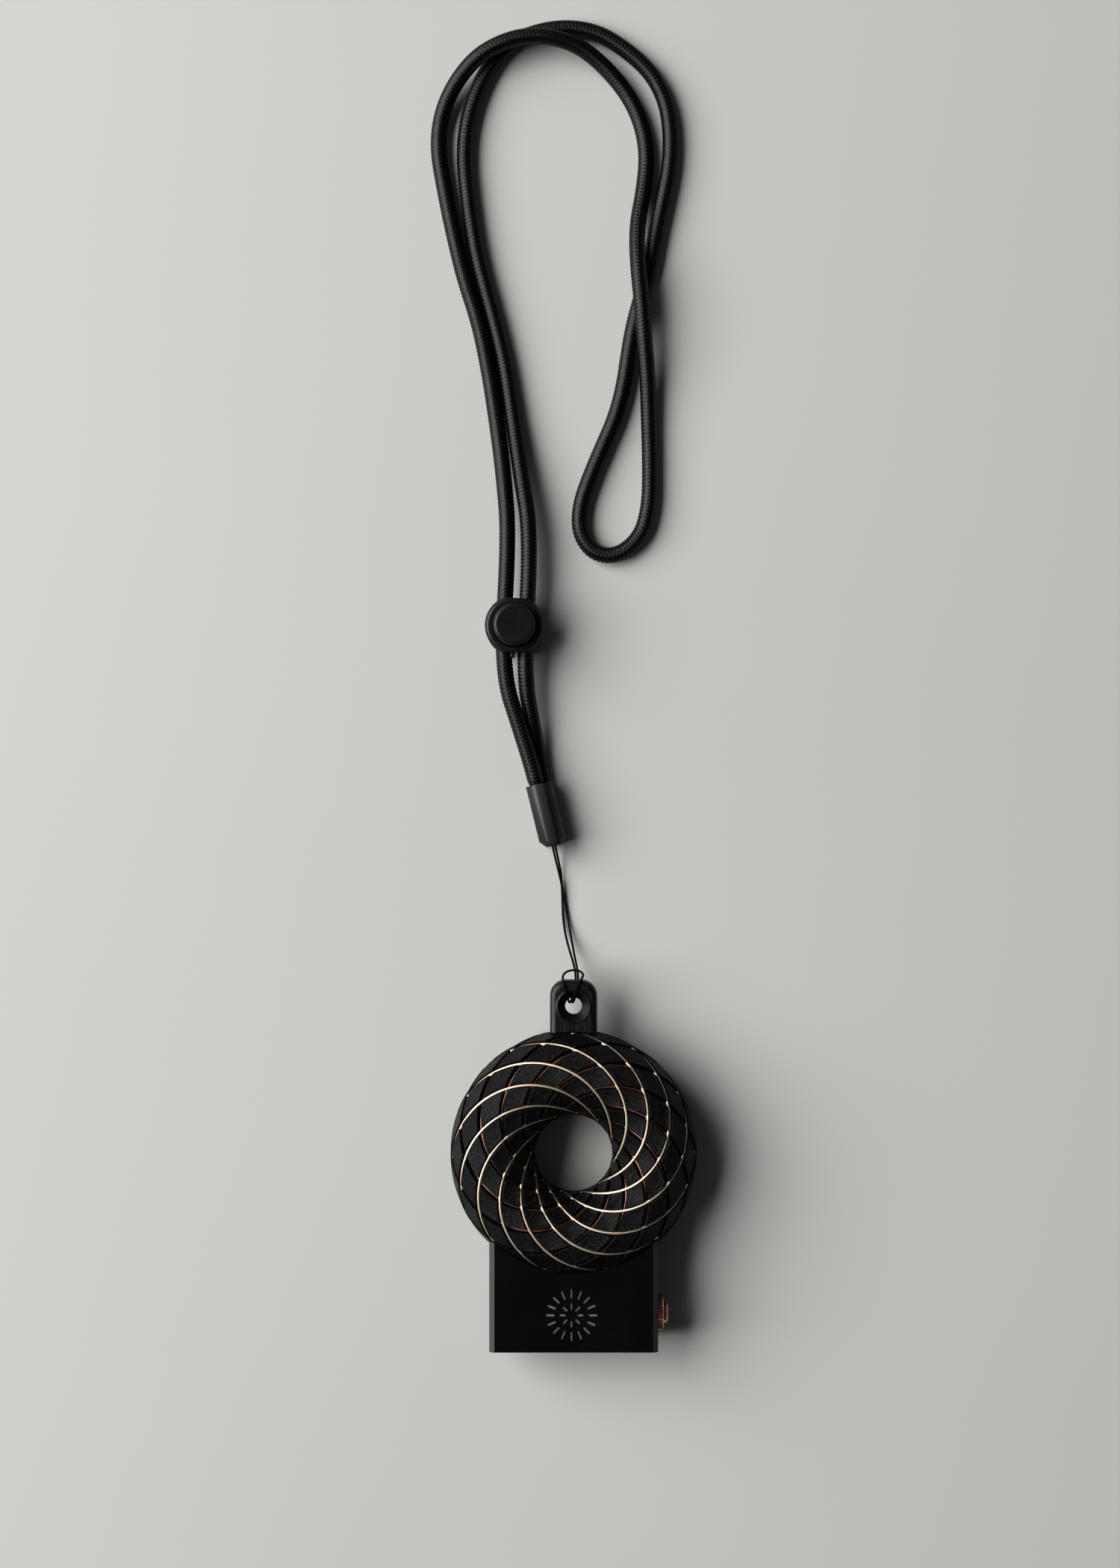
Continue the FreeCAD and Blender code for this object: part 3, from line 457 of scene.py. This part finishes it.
class Path:
    # a line with even arc length and a frame that doesn't twist
    def __init__(self, line, step):
        self.lengths = [0.0]
        for a, b in zip(line, line[1:]):
            self.lengths.append(self.lengths[-1] + (b - a).length)
        self.line = line
        self.length = self.lengths[-1]
        self.count = round(self.length / step)
        self.step = self.length / self.count
        self.points = self.evenPoints()
        self.frames = self.turnFrames()

    def evenPoints(self):
        made = []
        k = 0
        for i in range(self.count + 1):
            target = min(i * self.step, self.length)
            while k < len(self.line) - 2 and self.lengths[k + 1] < target:
                k += 1
            share = (target - self.lengths[k]) / max(self.lengths[k + 1] - self.lengths[k], 1e-9)
            made.append(self.line[k].lerp(self.line[k + 1], min(share, 1)))
        return made

    def turnFrames(self):
        last = len(self.points) - 1
        frames = []
        side = None
        for i in range(last + 1):
            ahead = (self.points[min(i + 1, last)] - self.points[max(i - 1, 0)]).normalized()
            if side is None:
                side = ahead.cross(Vector((0, 0, 1))).normalized()
            side = (side - ahead * side.dot(ahead)).normalized()
            frames.append((side, ahead.cross(side)))
        return frames

    def at(self, x, angle, radius):
        i = min(max(round(x / self.step), 0), self.count)
        side, up = self.frames[i]
        return self.points[i] + side * math.cos(angle) * radius + up * math.sin(angle) * radius


# Braided neck cord: a tube whose faces follow both families of strands

braid = {"diameter": 5.2, "carriers": 12, "pitch": 1.17, "crest": 0.42, "squeeze": 0.8, "squeezeFrom": 9.5,
         "squeezeTo": 7.0}


def strandHeight(a, b):
    # a and b count half strands of the two families; returns 0 in a valley and 1 on a crest
    def firstOnTop(i, j):
        return (i + j) % 4 < 2
    if a % 2 and b % 2:
        return 1.0
    if a % 2 == 0 and b % 2 == 0:
        return 0.0
    if a % 2:
        tops = [firstOnTop(a // 2, j) for j in (b // 2 - 1, b // 2)]
    else:
        tops = [not firstOnTop(i, b // 2) for i in (a // 2 - 1, a // 2)]
    return sum(tops) * 0.5 - (0.15 if sum(tops) == 1 else 0)


def makeNeckCord():
    path = Path(splineLine(neckRoute, 24), braid["pitch"] / 4)
    around = 2 * braid["carriers"]
    longCount = path.count + around
    bm = bmesh.new()
    bmesh.ops.create_grid(bm, x_segments=longCount, y_segments=around, size=1)
    uv = bm.loops.layers.uv.new("strands")
    bm.verts.index_update()
    places = {}
    for vertex in bm.verts:
        a = round((vertex.co.x + 1) / 2 * longCount)
        b = round((vertex.co.y + 1) / 2 * around)
        places[vertex.index] = (a, b)
    base = braid["diameter"] / 2 - braid["crest"] * 0.75
    for face in bm.faces:
        for loop in face.loops:
            a, b = places[loop.vert.index]
            loop[uv].uv = (a / 2, b / 2)
    for vertex in bm.verts:
        a, b = places[vertex.index]
        along = a - b
        inside = 0 < along < path.count
        radius = base + braid["crest"] * strandHeight(a, b) if inside else 0
        toEnd = min(along, path.count - along) * path.step
        share = (toEnd - braid["squeezeTo"]) / (braid["squeezeFrom"] - braid["squeezeTo"])
        radius *= braid["squeeze"] + (1 - braid["squeeze"]) * min(max(share, 0), 1)
        vertex.co = path.at(along * path.step, math.pi * (a + b) / around, radius)
    bmesh.ops.remove_doubles(bm, verts=bm.verts, dist=0.01)
    bmesh.ops.dissolve_degenerate(bm, dist=0.001, edges=bm.edges)
    bmesh.ops.recalc_face_normals(bm, faces=bm.faces)
    cord = finishPiece(bm, "neckCord", "pendant", finishes["braid"], ["neck_cord"], sharp=180)
    return cord, path


neckCord, neckPath = makeNeckCord()
print("neck cord", round(neckPath.length), "mm,", len(neckCord.data.polygons), "faces")


# Thin string: three plies twisted round one route

ply = {"diameter": 0.8, "plies": 3, "share": 0.52, "lay": 2.6, "step": 0.3, "sides": 8}


def makeString():
    path = Path(splineLine(stringRoute, 16), ply["step"])
    bm = bmesh.new()
    plyRadius = ply["diameter"] / 2 * ply["share"]
    offset = ply["diameter"] / 2 - plyRadius
    for k in range(ply["plies"]):
        centres = []
        for i in range(path.count + 1):
            x = i * path.step
            turn = math.tau * (x / ply["lay"] + k / ply["plies"])
            centres.append(path.at(x, turn, offset))
        rows = []
        for i, centre in enumerate(centres):
            ahead = (centres[min(i + 1, path.count)] - centres[max(i - 1, 0)]).normalized()
            side = path.frames[i][0]
            side = (side - ahead * side.dot(ahead)).normalized()
            up = ahead.cross(side)
            row = []
            for j in range(ply["sides"]):
                angle = math.tau * j / ply["sides"]
                spoke = side * math.cos(angle) + up * math.sin(angle)
                row.append(bm.verts.new(centre + spoke * plyRadius))
            rows.append(row)
        edges = []
        for row in rows:
            edges.append([bm.edges.new(pair) for pair in zip(row, row[1:] + row[:1])])
        for first, second in zip(edges, edges[1:]):
            bmesh.ops.bridge_loops(bm, edges=first + second)
        for end in (rows[0], rows[-1]):
            bm.faces.new(end)
    bmesh.ops.recalc_face_normals(bm, faces=bm.faces)
    string = finishPiece(bm, "stringLoop", "pendant", finishes["string"], ["string_loop"],
                         sharp=80)
    return string, path


stringLoop, stringPath = makeString()
print("string", round(stringPath.length), "mm")


# Moulded sleeve: an eight-sided block with soft edges and cut corners at the string's end

sleeve = {"start": (-11.3, 123.2), "end": (-6.4, 103.0), "width": 8.8, "height": 10.2, "cutTop": 2.4,
          "cutBottom": 1.6, "cornerLeft": 2.0, "cornerRight": 1.0, "cornerLength": 2.2, "soft": 1.0,
          "rim": 0.3}


def makeSleeve():
    half = sleeve["width"] / 2
    rise, top, bottom = sleeve["height"], sleeve["cutTop"], sleeve["cutBottom"]
    start, end = Vector((*sleeve["start"], 0)), Vector((*sleeve["end"], 0))
    length = (end - start).length
    section = ((-half, bottom), (bottom - half, 0), (half - bottom, 0), (half, bottom),
               (half, rise - top), (half - top, rise), (top - half, rise), (-half, rise - top))
    bm = bmesh.new()
    face = bm.faces.new([bm.verts.new((x, 0, z)) for x, z in section])
    for reach, narrow in ((length - sleeve["cornerLength"], False), (sleeve["cornerLength"], True)):
        grown = bmesh.ops.extrude_face_region(bm, geom=[face])["geom"]
        fresh = [item for item in grown if isinstance(item, bmesh.types.BMVert)]
        bmesh.ops.translate(bm, verts=fresh, vec=(0, -reach, 0))
        if narrow:
            for vertex in fresh:
                share = (vertex.co.x + half) / (2 * half)
                vertex.co.x += sleeve["cornerLeft"] * (1 - share) - sleeve["cornerRight"] * share
        face = next(item for item in grown if isinstance(item, bmesh.types.BMFace))
    inner = [f for f in bm.faces if len(f.verts) == 8 and -length + 0.1 < f.calc_center_median().y < -0.1]
    bmesh.ops.delete(bm, geom=inner, context="FACES_ONLY")
    bmesh.ops.recalc_face_normals(bm, faces=bm.faces)
    along = [e for e in bm.edges if abs((e.verts[0].co - e.verts[1].co).normalized().y) > 0.6]
    bmesh.ops.bevel(bm, geom=along, offset=sleeve["soft"], offset_type="OFFSET", segments=4, profile=0.5,
                    affect="EDGES", clamp_overlap=True, material=-1)
    rims = [e for e in bm.edges if len(e.link_faces) == 2 and e.calc_face_angle(0) > math.radians(60)]
    bmesh.ops.bevel(bm, geom=rims, offset=sleeve["rim"], offset_type="OFFSET", segments=2, profile=0.5,
                    affect="EDGES", clamp_overlap=True, material=-1)
    slant = math.atan2(end.x - start.x, start.y - end.y)
    bmesh.ops.rotate(bm, verts=bm.verts, cent=(0, 0, 0), matrix=Matrix.Rotation(slant, 3, "Z"))
    bmesh.ops.translate(bm, verts=bm.verts, vec=start)
    return finishPiece(bm, "cordSleeve", "pendant", finishes["sleeve"], ["cord_sleeve"])


cordSleeve = makeSleeve()
print("sleeve", len(cordSleeve.data.polygons), "faces")


# Ring skin with two crossing families of grooves

ringLow, ringHigh = cadBox("ring_back_half")
ring = {"radius": 26.2, "tube": 13.8, "starts": 12, "ringStep": 15.0, "rowStep": 18.0, "rowStart": -3.4,
        "ringStart": 16.2, "cells": 16, "edges": (0, 0.5, 0.62, 0.74, 0.9, 1.25),
        "overDepth": 1.35, "underDepth": 2.3, "floor": 0.5, "mouth": 0.74, "wall": 1.3, "rough": 0.06,
        "roughScale": 0.9, "landRough": 0.4, "flat": 0.38, "lip": 0.07, "lipAt": 0.2, "lipWide": 0.3,
        "beadsAt": 0.22, "beadsWide": 0.32}
# the ripple, speck and bead colours are painted sheen, glints and highlights; the groove colour is painted
# shade
ringLook = {"specular": 0.22, "tooth": 3.4, "blotch": 0.12, "layer": 0.2, "beadScale": 1.15,
            "beadSpread": 0.75, "glintSpeckScale": 3.4, "black": (0.003, 0.003, 0.0035),
            "rippleSheen": (0.012, 0.012, 0.013), "glintSpeck": (0.10, 0.10, 0.105), "glintSpeckShare": 0.6,
            "beadHighlight": (0.07, 0.07, 0.075), "beadHighlightShare": 0.45, "grooveShade": (0.002, 0.002, 0.002),
            "roughness": (0.28, 0.42), "flatCalm": 0.5, "sideTooth": 0.3, "crestTooth": 1.5,
            "beadHeight": 2.2, "bump": 0.8, "depth": 0.13}
ringCentre = Vector(((ringLow.x + ringHigh.x) / 2, (ringLow.y + ringHigh.y) / 2, ringLow.z + ring["tube"]))


def latticeAngles(s, t):
    theta = -math.radians(ring["ringStart"] + ring["ringStep"] * (s + t))
    phi = math.radians(ring["rowStart"] + ring["rowStep"] * (s - t))
    return theta, phi


def ringPoint(radius, s, t):
    theta, phi = latticeAngles(s, t)
    reach = ring["radius"] + radius * math.cos(phi)
    return ringCentre + Vector((reach * math.cos(theta), reach * math.sin(theta), radius * math.sin(phi)))


def grooveSpacing(s, t):
    # millimetres between neighbouring grooves of one family, square to them
    phi = latticeAngles(s, t)[1]
    across = math.radians(ring["ringStep"]) * (ring["radius"] + ring["tube"] * math.cos(phi))
    up = math.radians(ring["rowStep"]) * ring["tube"]
    return 2 * across * up / math.hypot(across, up)


def ladder(k, spacing):
    # place of the k-th line of a cell, with fixed distances near the grooves
    edges = ring["edges"]
    count = ring["cells"]
    last = len(edges) - 1
    if k <= last:
        return edges[k] / spacing
    if k >= count - last:
        return 1 - edges[count - k] / spacing
    low = edges[last] / spacing
    return low + (1 - 2 * low) * (k - last) / (count - 2 * last)


def grooveProfile(distance):
    # 1 on the floor, 0 on the land, with steep walls between
    if distance <= ring["floor"]:
        return 1.0
    if distance >= ring["mouth"]:
        return 0.0
    share = (distance - ring["floor"]) / (ring["mouth"] - ring["floor"])
    return 1 - share ** ring["wall"]


def makeRingFinish():
    # printed black: layer ripples with lighter ridges as painted sheen, pale specks by the crest as painted
    # glints, beads along the land edges with a painted highlight, and grooves darkened as painted shade
    look = ringLook
    material, tree, shader, vector, _ = newFinish("printedRing", **{"Specular IOR Level": look["specular"]})
    grain = place(tree, grainGroup, {"Vector": vector, "Tooth": look["tooth"], "Blotch": look["blotch"]})
    layers = place(tree, layerGroup, {"Vector": vector, "Layer": look["layer"]})
    grooveShade = put(tree, "Attribute", attribute_name="grooveShade").outputs["Fac"]
    rim = put(tree, "Attribute", attribute_name="rim").outputs["Fac"]
    dots = put(tree, "TexVoronoi", {"Vector": vector, "Scale": look["beadScale"],
                                    "Randomness": look["beadSpread"]}).outputs["Distance"]
    beads = math2(tree, "MULTIPLY", ramp(tree, dots, (0.0, 1.0), (0.28, 0.6), (0.5, 0.0)), rim)
    crest = ramp(tree, layers.outputs["Flat"], (0.0, 0.0), (1.0, 1.0))
    # painted glints: pale specks where the skin lies flat by the crest, where the layer steps catch the light
    sparks = put(tree, "TexNoise", {"Vector": vector, "Scale": look["glintSpeckScale"], "Detail": 1.0})
    glintSpeck = math2(tree, "MULTIPLY", ramp(tree, sparks.outputs["Fac"], (0.0, 0.0), (0.62, 0.0), (0.70, 1.0)),
                  crest)
    # painted sheen: the ridges of the printed layers take a lighter colour, in random patches
    rippleSheen = ramp(tree, layers.outputs["Height"], (0.45, 0.0), (0.95, 1.0))
    patches = ramp(tree, grain.outputs["Fine"], (0.45, 0.0), (0.62, 1.0))
    colour = blendColours(tree, math2(tree, "MULTIPLY", rippleSheen, patches), look["black"], look["rippleSheen"])
    colour = blendColours(tree, math2(tree, "MULTIPLY", glintSpeck, look["glintSpeckShare"]), colour, look["glintSpeck"])
    # painted highlight: the raised beads along the land edges take a paler colour; their bump is real shape
    colour = blendColours(tree, math2(tree, "MULTIPLY", beads, look["beadHighlightShare"]), colour, look["beadHighlight"])
    # painted shade: the grooves take a blacker colour and lose the lighter marks, following the depth mask
    tree.links.new(blendColours(tree, grooveShade, colour, look["grooveShade"]), shader.inputs["Base Color"])
    grainRoughness(tree, shader, grain, look["roughness"])
    calm = math2(tree, "SUBTRACT", 1.0, math2(tree, "MULTIPLY", layers.outputs["Flat"], look["flatCalm"]))
    tooth = math2(tree, "ADD", look["sideTooth"], math2(tree, "MULTIPLY", crest, look["crestTooth"]))
    height = math2(tree, "ADD", math2(tree, "MULTIPLY", layers.outputs["Height"], calm),
                   math2(tree, "MULTIPLY", grain.outputs["Fine"], tooth))
    height = math2(tree, "ADD", height, math2(tree, "MULTIPLY", beads, look["beadHeight"]))
    bump(tree, shader, height, look["bump"], look["depth"])
    return material


def makeRing():
    cells = ring["cells"]
    long = 10 * ring["starts"] * cells
    wide = 2 * cells
    bm = bmesh.new()
    bmesh.ops.create_grid(bm, x_segments=long, y_segments=wide, size=1)
    grooveShade = bm.verts.layers.float.new("grooveShade")
    rim = bm.verts.layers.float.new("rim")
    for vertex in bm.verts:
        i = round((vertex.co.x + 1) / 2 * long)
        j = round((vertex.co.y + 1) / 2 * wide)
        s, t = i / cells, j / cells
        for _ in range(3):
            spacing = grooveSpacing(s, t)
            s = i // cells + ladder(i % cells, spacing)
            t = j // cells + ladder(j % cells, spacing)
        spacing = grooveSpacing(s, t)
        toOver = abs(t - round(t)) * spacing
        toUnder = abs(s - round(s)) * spacing
        depth = max(ring["overDepth"] * grooveProfile(toOver),
                    ring["underDepth"] * grooveProfile(toUnder))
        flat = ring["flat"] * math.sin(math.pi * (s % 1)) * math.sin(math.pi * (t % 1))
        nearest = min(toOver, toUnder) - ring["mouth"]
        lip = ring["lip"] * max(0, 1 - abs(nearest - ring["lipAt"]) / ring["lipWide"])
        wander = noise.noise(ringPoint(ring["tube"], s, t) * ring["roughScale"]) * ring["rough"]
        sunk = max(depth + flat - lip - (wander if depth > 0.05 else wander * ring["landRough"]), 0)
        vertex.co = ringPoint(ring["tube"] - sunk, s, t)
        # groove depth, which the ring finish uses as the mask of its painted groove shade
        vertex[grooveShade] = min(depth / ring["overDepth"], 1)
        vertex[rim] = max(0, 1 - abs(nearest - ring["beadsAt"]) / ring["beadsWide"])
    bmesh.ops.remove_doubles(bm, verts=bm.verts, dist=0.02)
    bmesh.ops.recalc_face_normals(bm, faces=bm.faces)
    return finishPiece(bm, "ringSkin", "pendant", makeRingFinish(), ["ring_front_half", "ring_back_half"],
                       sharp=50)


ringSkin = makeRing()
print("ring skin", len(ringSkin.data.polygons), "faces")


# Copper wires in the grooves

wires = {"diameter": 0.95, "over": 12.95, "under": 12.0, "steps": 4, "span": 120, "gap": 0.45, "lead": 17.2,
         "bendHigh": 2.4, "bendLow": 0.6, "bendTurn": 0.03, "wander": 0.012}


def makeWire(name, node, radius, first, way):
    def place(step, r, side=0.0):
        if way > 0:
            return ringPoint(r, first[0] + step, first[1] + side)
        return ringPoint(r, first[0] + side, first[1] - step)
    last = wires["span"] - wires["gap"]
    count = round(last * wires["steps"])
    high, low, turn = radius + wires["bendHigh"], radius + wires["bendLow"], wires["bendTurn"]
    route = [place(0, wires["lead"]), place(0, high), place(turn, low)]
    for k in range(1, count):
        step = last * k / count
        side = noise.noise(Vector((step * 0.9, first[0] * 3.1, first[1] * 1.7))) * wires["wander"]
        route.append(place(step, radius, side))
    route += [place(last - turn, low), place(last, high), place(last, wires["lead"])]
    curve = bpy.data.curves.new(name, "CURVE")
    curve.dimensions = "3D"
    curve.resolution_u = 3
    curve.bevel_depth = wires["diameter"] / 2 * mm
    curve.bevel_resolution = 3
    curve.use_fill_caps = True
    spline = curve.splines.new("NURBS")
    spline.points.add(len(route) - 1)
    for point, target in zip(spline.points, route):
        point.co = (*(target * mm), 1)
    spline.order_u = 4
    spline.use_endpoint_u = True
    wire = bpy.data.objects.new(name, curve)
    bpy.context.scene.collection.objects.link(wire)
    # over wires take the paler copper as painted highlight, under wires the darker copper as painted shade in
    # the deep grooves
    curve.materials.append(finishes["litCopper" if way > 0 else "shadedCopper"])
    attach(wire, "pendant")
    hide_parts(node)
    return wire


for name, node, radius, first, way in (
        ("overWireFirst", "winding_over_first", wires["over"], (100.5, 0), 1),
        ("overWireSecond", "winding_over_second", wires["over"], (101.5, 1), 1),
        ("underWireFirst", "winding_under_first", wires["under"], (0, -20.65), -1),
        ("underWireSecond", "winding_under_second", wires["under"], (1, -19.65), -1)):
    makeWire(name, node, radius, first, way)
print("wires wound")


# Coil springs, wound in place of the CAD springs

springs = [
    {"name": "buttonSpring", "node": "button_spring", "body": "pendant", "joint": "button_press", "axis": 0,
     "coil": 2.4, "wire": 0.45, "turns": 3.5, "press": 1.0, "sides": 10, "stepsPerTurn": 40},
    {"name": "lockSpring", "node": "lock_spring", "body": "cord_lock", "joint": "lock_press", "axis": 2,
     "coil": 4.6, "wire": 0.5, "turns": 2.5, "press": 2.0, "sides": 10, "stepsPerTurn": 40},
]


def makeSpring(values):
    low, high = cadBox(values["node"])
    axis = values["axis"]
    length = high[axis] - low[axis]
    foot = (low + high) / 2
    foot[axis] = low[axis]
    radius = values["wire"] / 2
    steps = round(values["turns"] * values["stepsPerTurn"])
    bm = bmesh.new()
    bmesh.ops.create_circle(bm, segments=values["sides"], radius=radius)
    bmesh.ops.rotate(bm, verts=bm.verts, cent=(0, 0, 0), matrix=Matrix.Rotation(math.pi / 2, 3, "X"))
    bmesh.ops.translate(bm, verts=bm.verts, vec=(values["coil"], 0, radius))
    section = list(bm.verts) + list(bm.edges)
    bm.faces.new(list(bm.verts))
    wound = bmesh.ops.spin(bm, geom=section, axis=(0, 0, 1), cent=(0, 0, 0), steps=steps,
                           angle=math.tau * values["turns"], dvec=(0, 0, (length - 2 * radius) / steps))
    far = [item for item in wound["geom_last"] if isinstance(item, bmesh.types.BMEdge)]
    bmesh.ops.contextual_create(bm, geom=far)
    bmesh.ops.recalc_face_normals(bm, faces=bm.faces)
    if axis == 0:
        bmesh.ops.rotate(bm, verts=bm.verts, cent=(0, 0, 0), matrix=Matrix.Rotation(math.pi / 2, 3, "Y"))
    bmesh.ops.translate(bm, verts=bm.verts, vec=foot)
    spring = finishPiece(bm, values["name"], values["body"], finishes["steel"], [values["node"]])
    direction = Vector((0, 0, 0))
    direction[axis] = 1
    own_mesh(spring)
    return spring


buttonSpring, lockSpring = [makeSpring(values) for values in springs]
print("springs wound")


# CAD pieces that keep their shape take these finishes

keptFinishes = {
    "printed": ["hang_tab"],
    "box": ["box_shell", "back_cover"],
    "moulded": ["lock_body", "lock_button", "driver_chip"],
    "insert": ["switch_insert", "cell_holder"],
    "laminate": ["circuit_board"],
    "insulation": ["switch_leads"],
    "roseMetal": ["button_bezel", "button_cap", "button_nut"],
    "steel": ["locating_pins", "cover_screws", "board_screws", "coin_cell", "board_components"],
    "gilt": ["switch_terminals", "cell_contact"],
}
for finish, nodes in keptFinishes.items():
    for node in nodes:
        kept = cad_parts[node]
        kept.data.materials.clear()
        kept.data.materials.append(finishes[finish])


print("cords made")


# Floor and light

table = {"half": 2, "place": (0, 0.12, -0.0002), "roughness": 0.62, "specular": 0.3, "tooth": 0.8,
         "blotch": 0.004, "dark": (0.60, 0.602, 0.585), "light": (0.63, 0.632, 0.615)}
tableFinish, tree, shader, vector, _ = newFinish("paleTable", **{"Roughness": table["roughness"],
                                                                 "Specular IOR Level": table["specular"]})
grain = place(tree, grainGroup, {"Vector": vector, "Tooth": table["tooth"], "Blotch": table["blotch"]})
tree.links.new(blendColours(tree, grain.outputs["Slow"], table["dark"], table["light"]),
               shader.inputs["Base Color"])
bm = bmesh.new()
bmesh.ops.create_grid(bm, x_segments=1, y_segments=1, size=table["half"])
floorMesh = bpy.data.meshes.new("floor")
bm.to_mesh(floorMesh)
bm.free()
floor = bpy.data.objects.new("floor", floorMesh)
floor.location = table["place"]
floorMesh.materials.append(tableFinish)
bpy.context.scene.collection.objects.link(floor)

studio = [
    {"name": "window", "place": (-2.15, 0.6, 1.75), "aim": (0, 0.12, 0), "size": (2.9, 2.5), "power": 124.0,
     "colour": (1.0, 0.995, 0.985)},
]
for lamp in studio:
    light = bpy.data.lights.new(lamp["name"], "AREA")
    light.shape = "RECTANGLE"
    light.size, light.size_y = lamp["size"]
    light.energy = lamp["power"]
    light.color = lamp["colour"]
    holder = bpy.data.objects.new(lamp["name"], light)
    holder.location = lamp["place"]
    holder.rotation_euler = (Vector(lamp["aim"]) - Vector(lamp["place"])).to_track_quat("-Z", "Y").to_euler()
    bpy.context.scene.collection.objects.link(holder)

room = {"colour": (0.85, 0.87, 0.9, 1), "strength": 0.05}
world = bpy.data.worlds.new("studio")
world.use_nodes = True
background = world.node_tree.nodes["Background"]
background.inputs["Color"].default_value = room["colour"]
background.inputs["Strength"].default_value = room["strength"]
bpy.context.scene.world = world
bpy.context.scene.view_settings.view_transform = "Standard"
bpy.context.scene.view_settings.look = "Medium High Contrast"
print("stage lit")
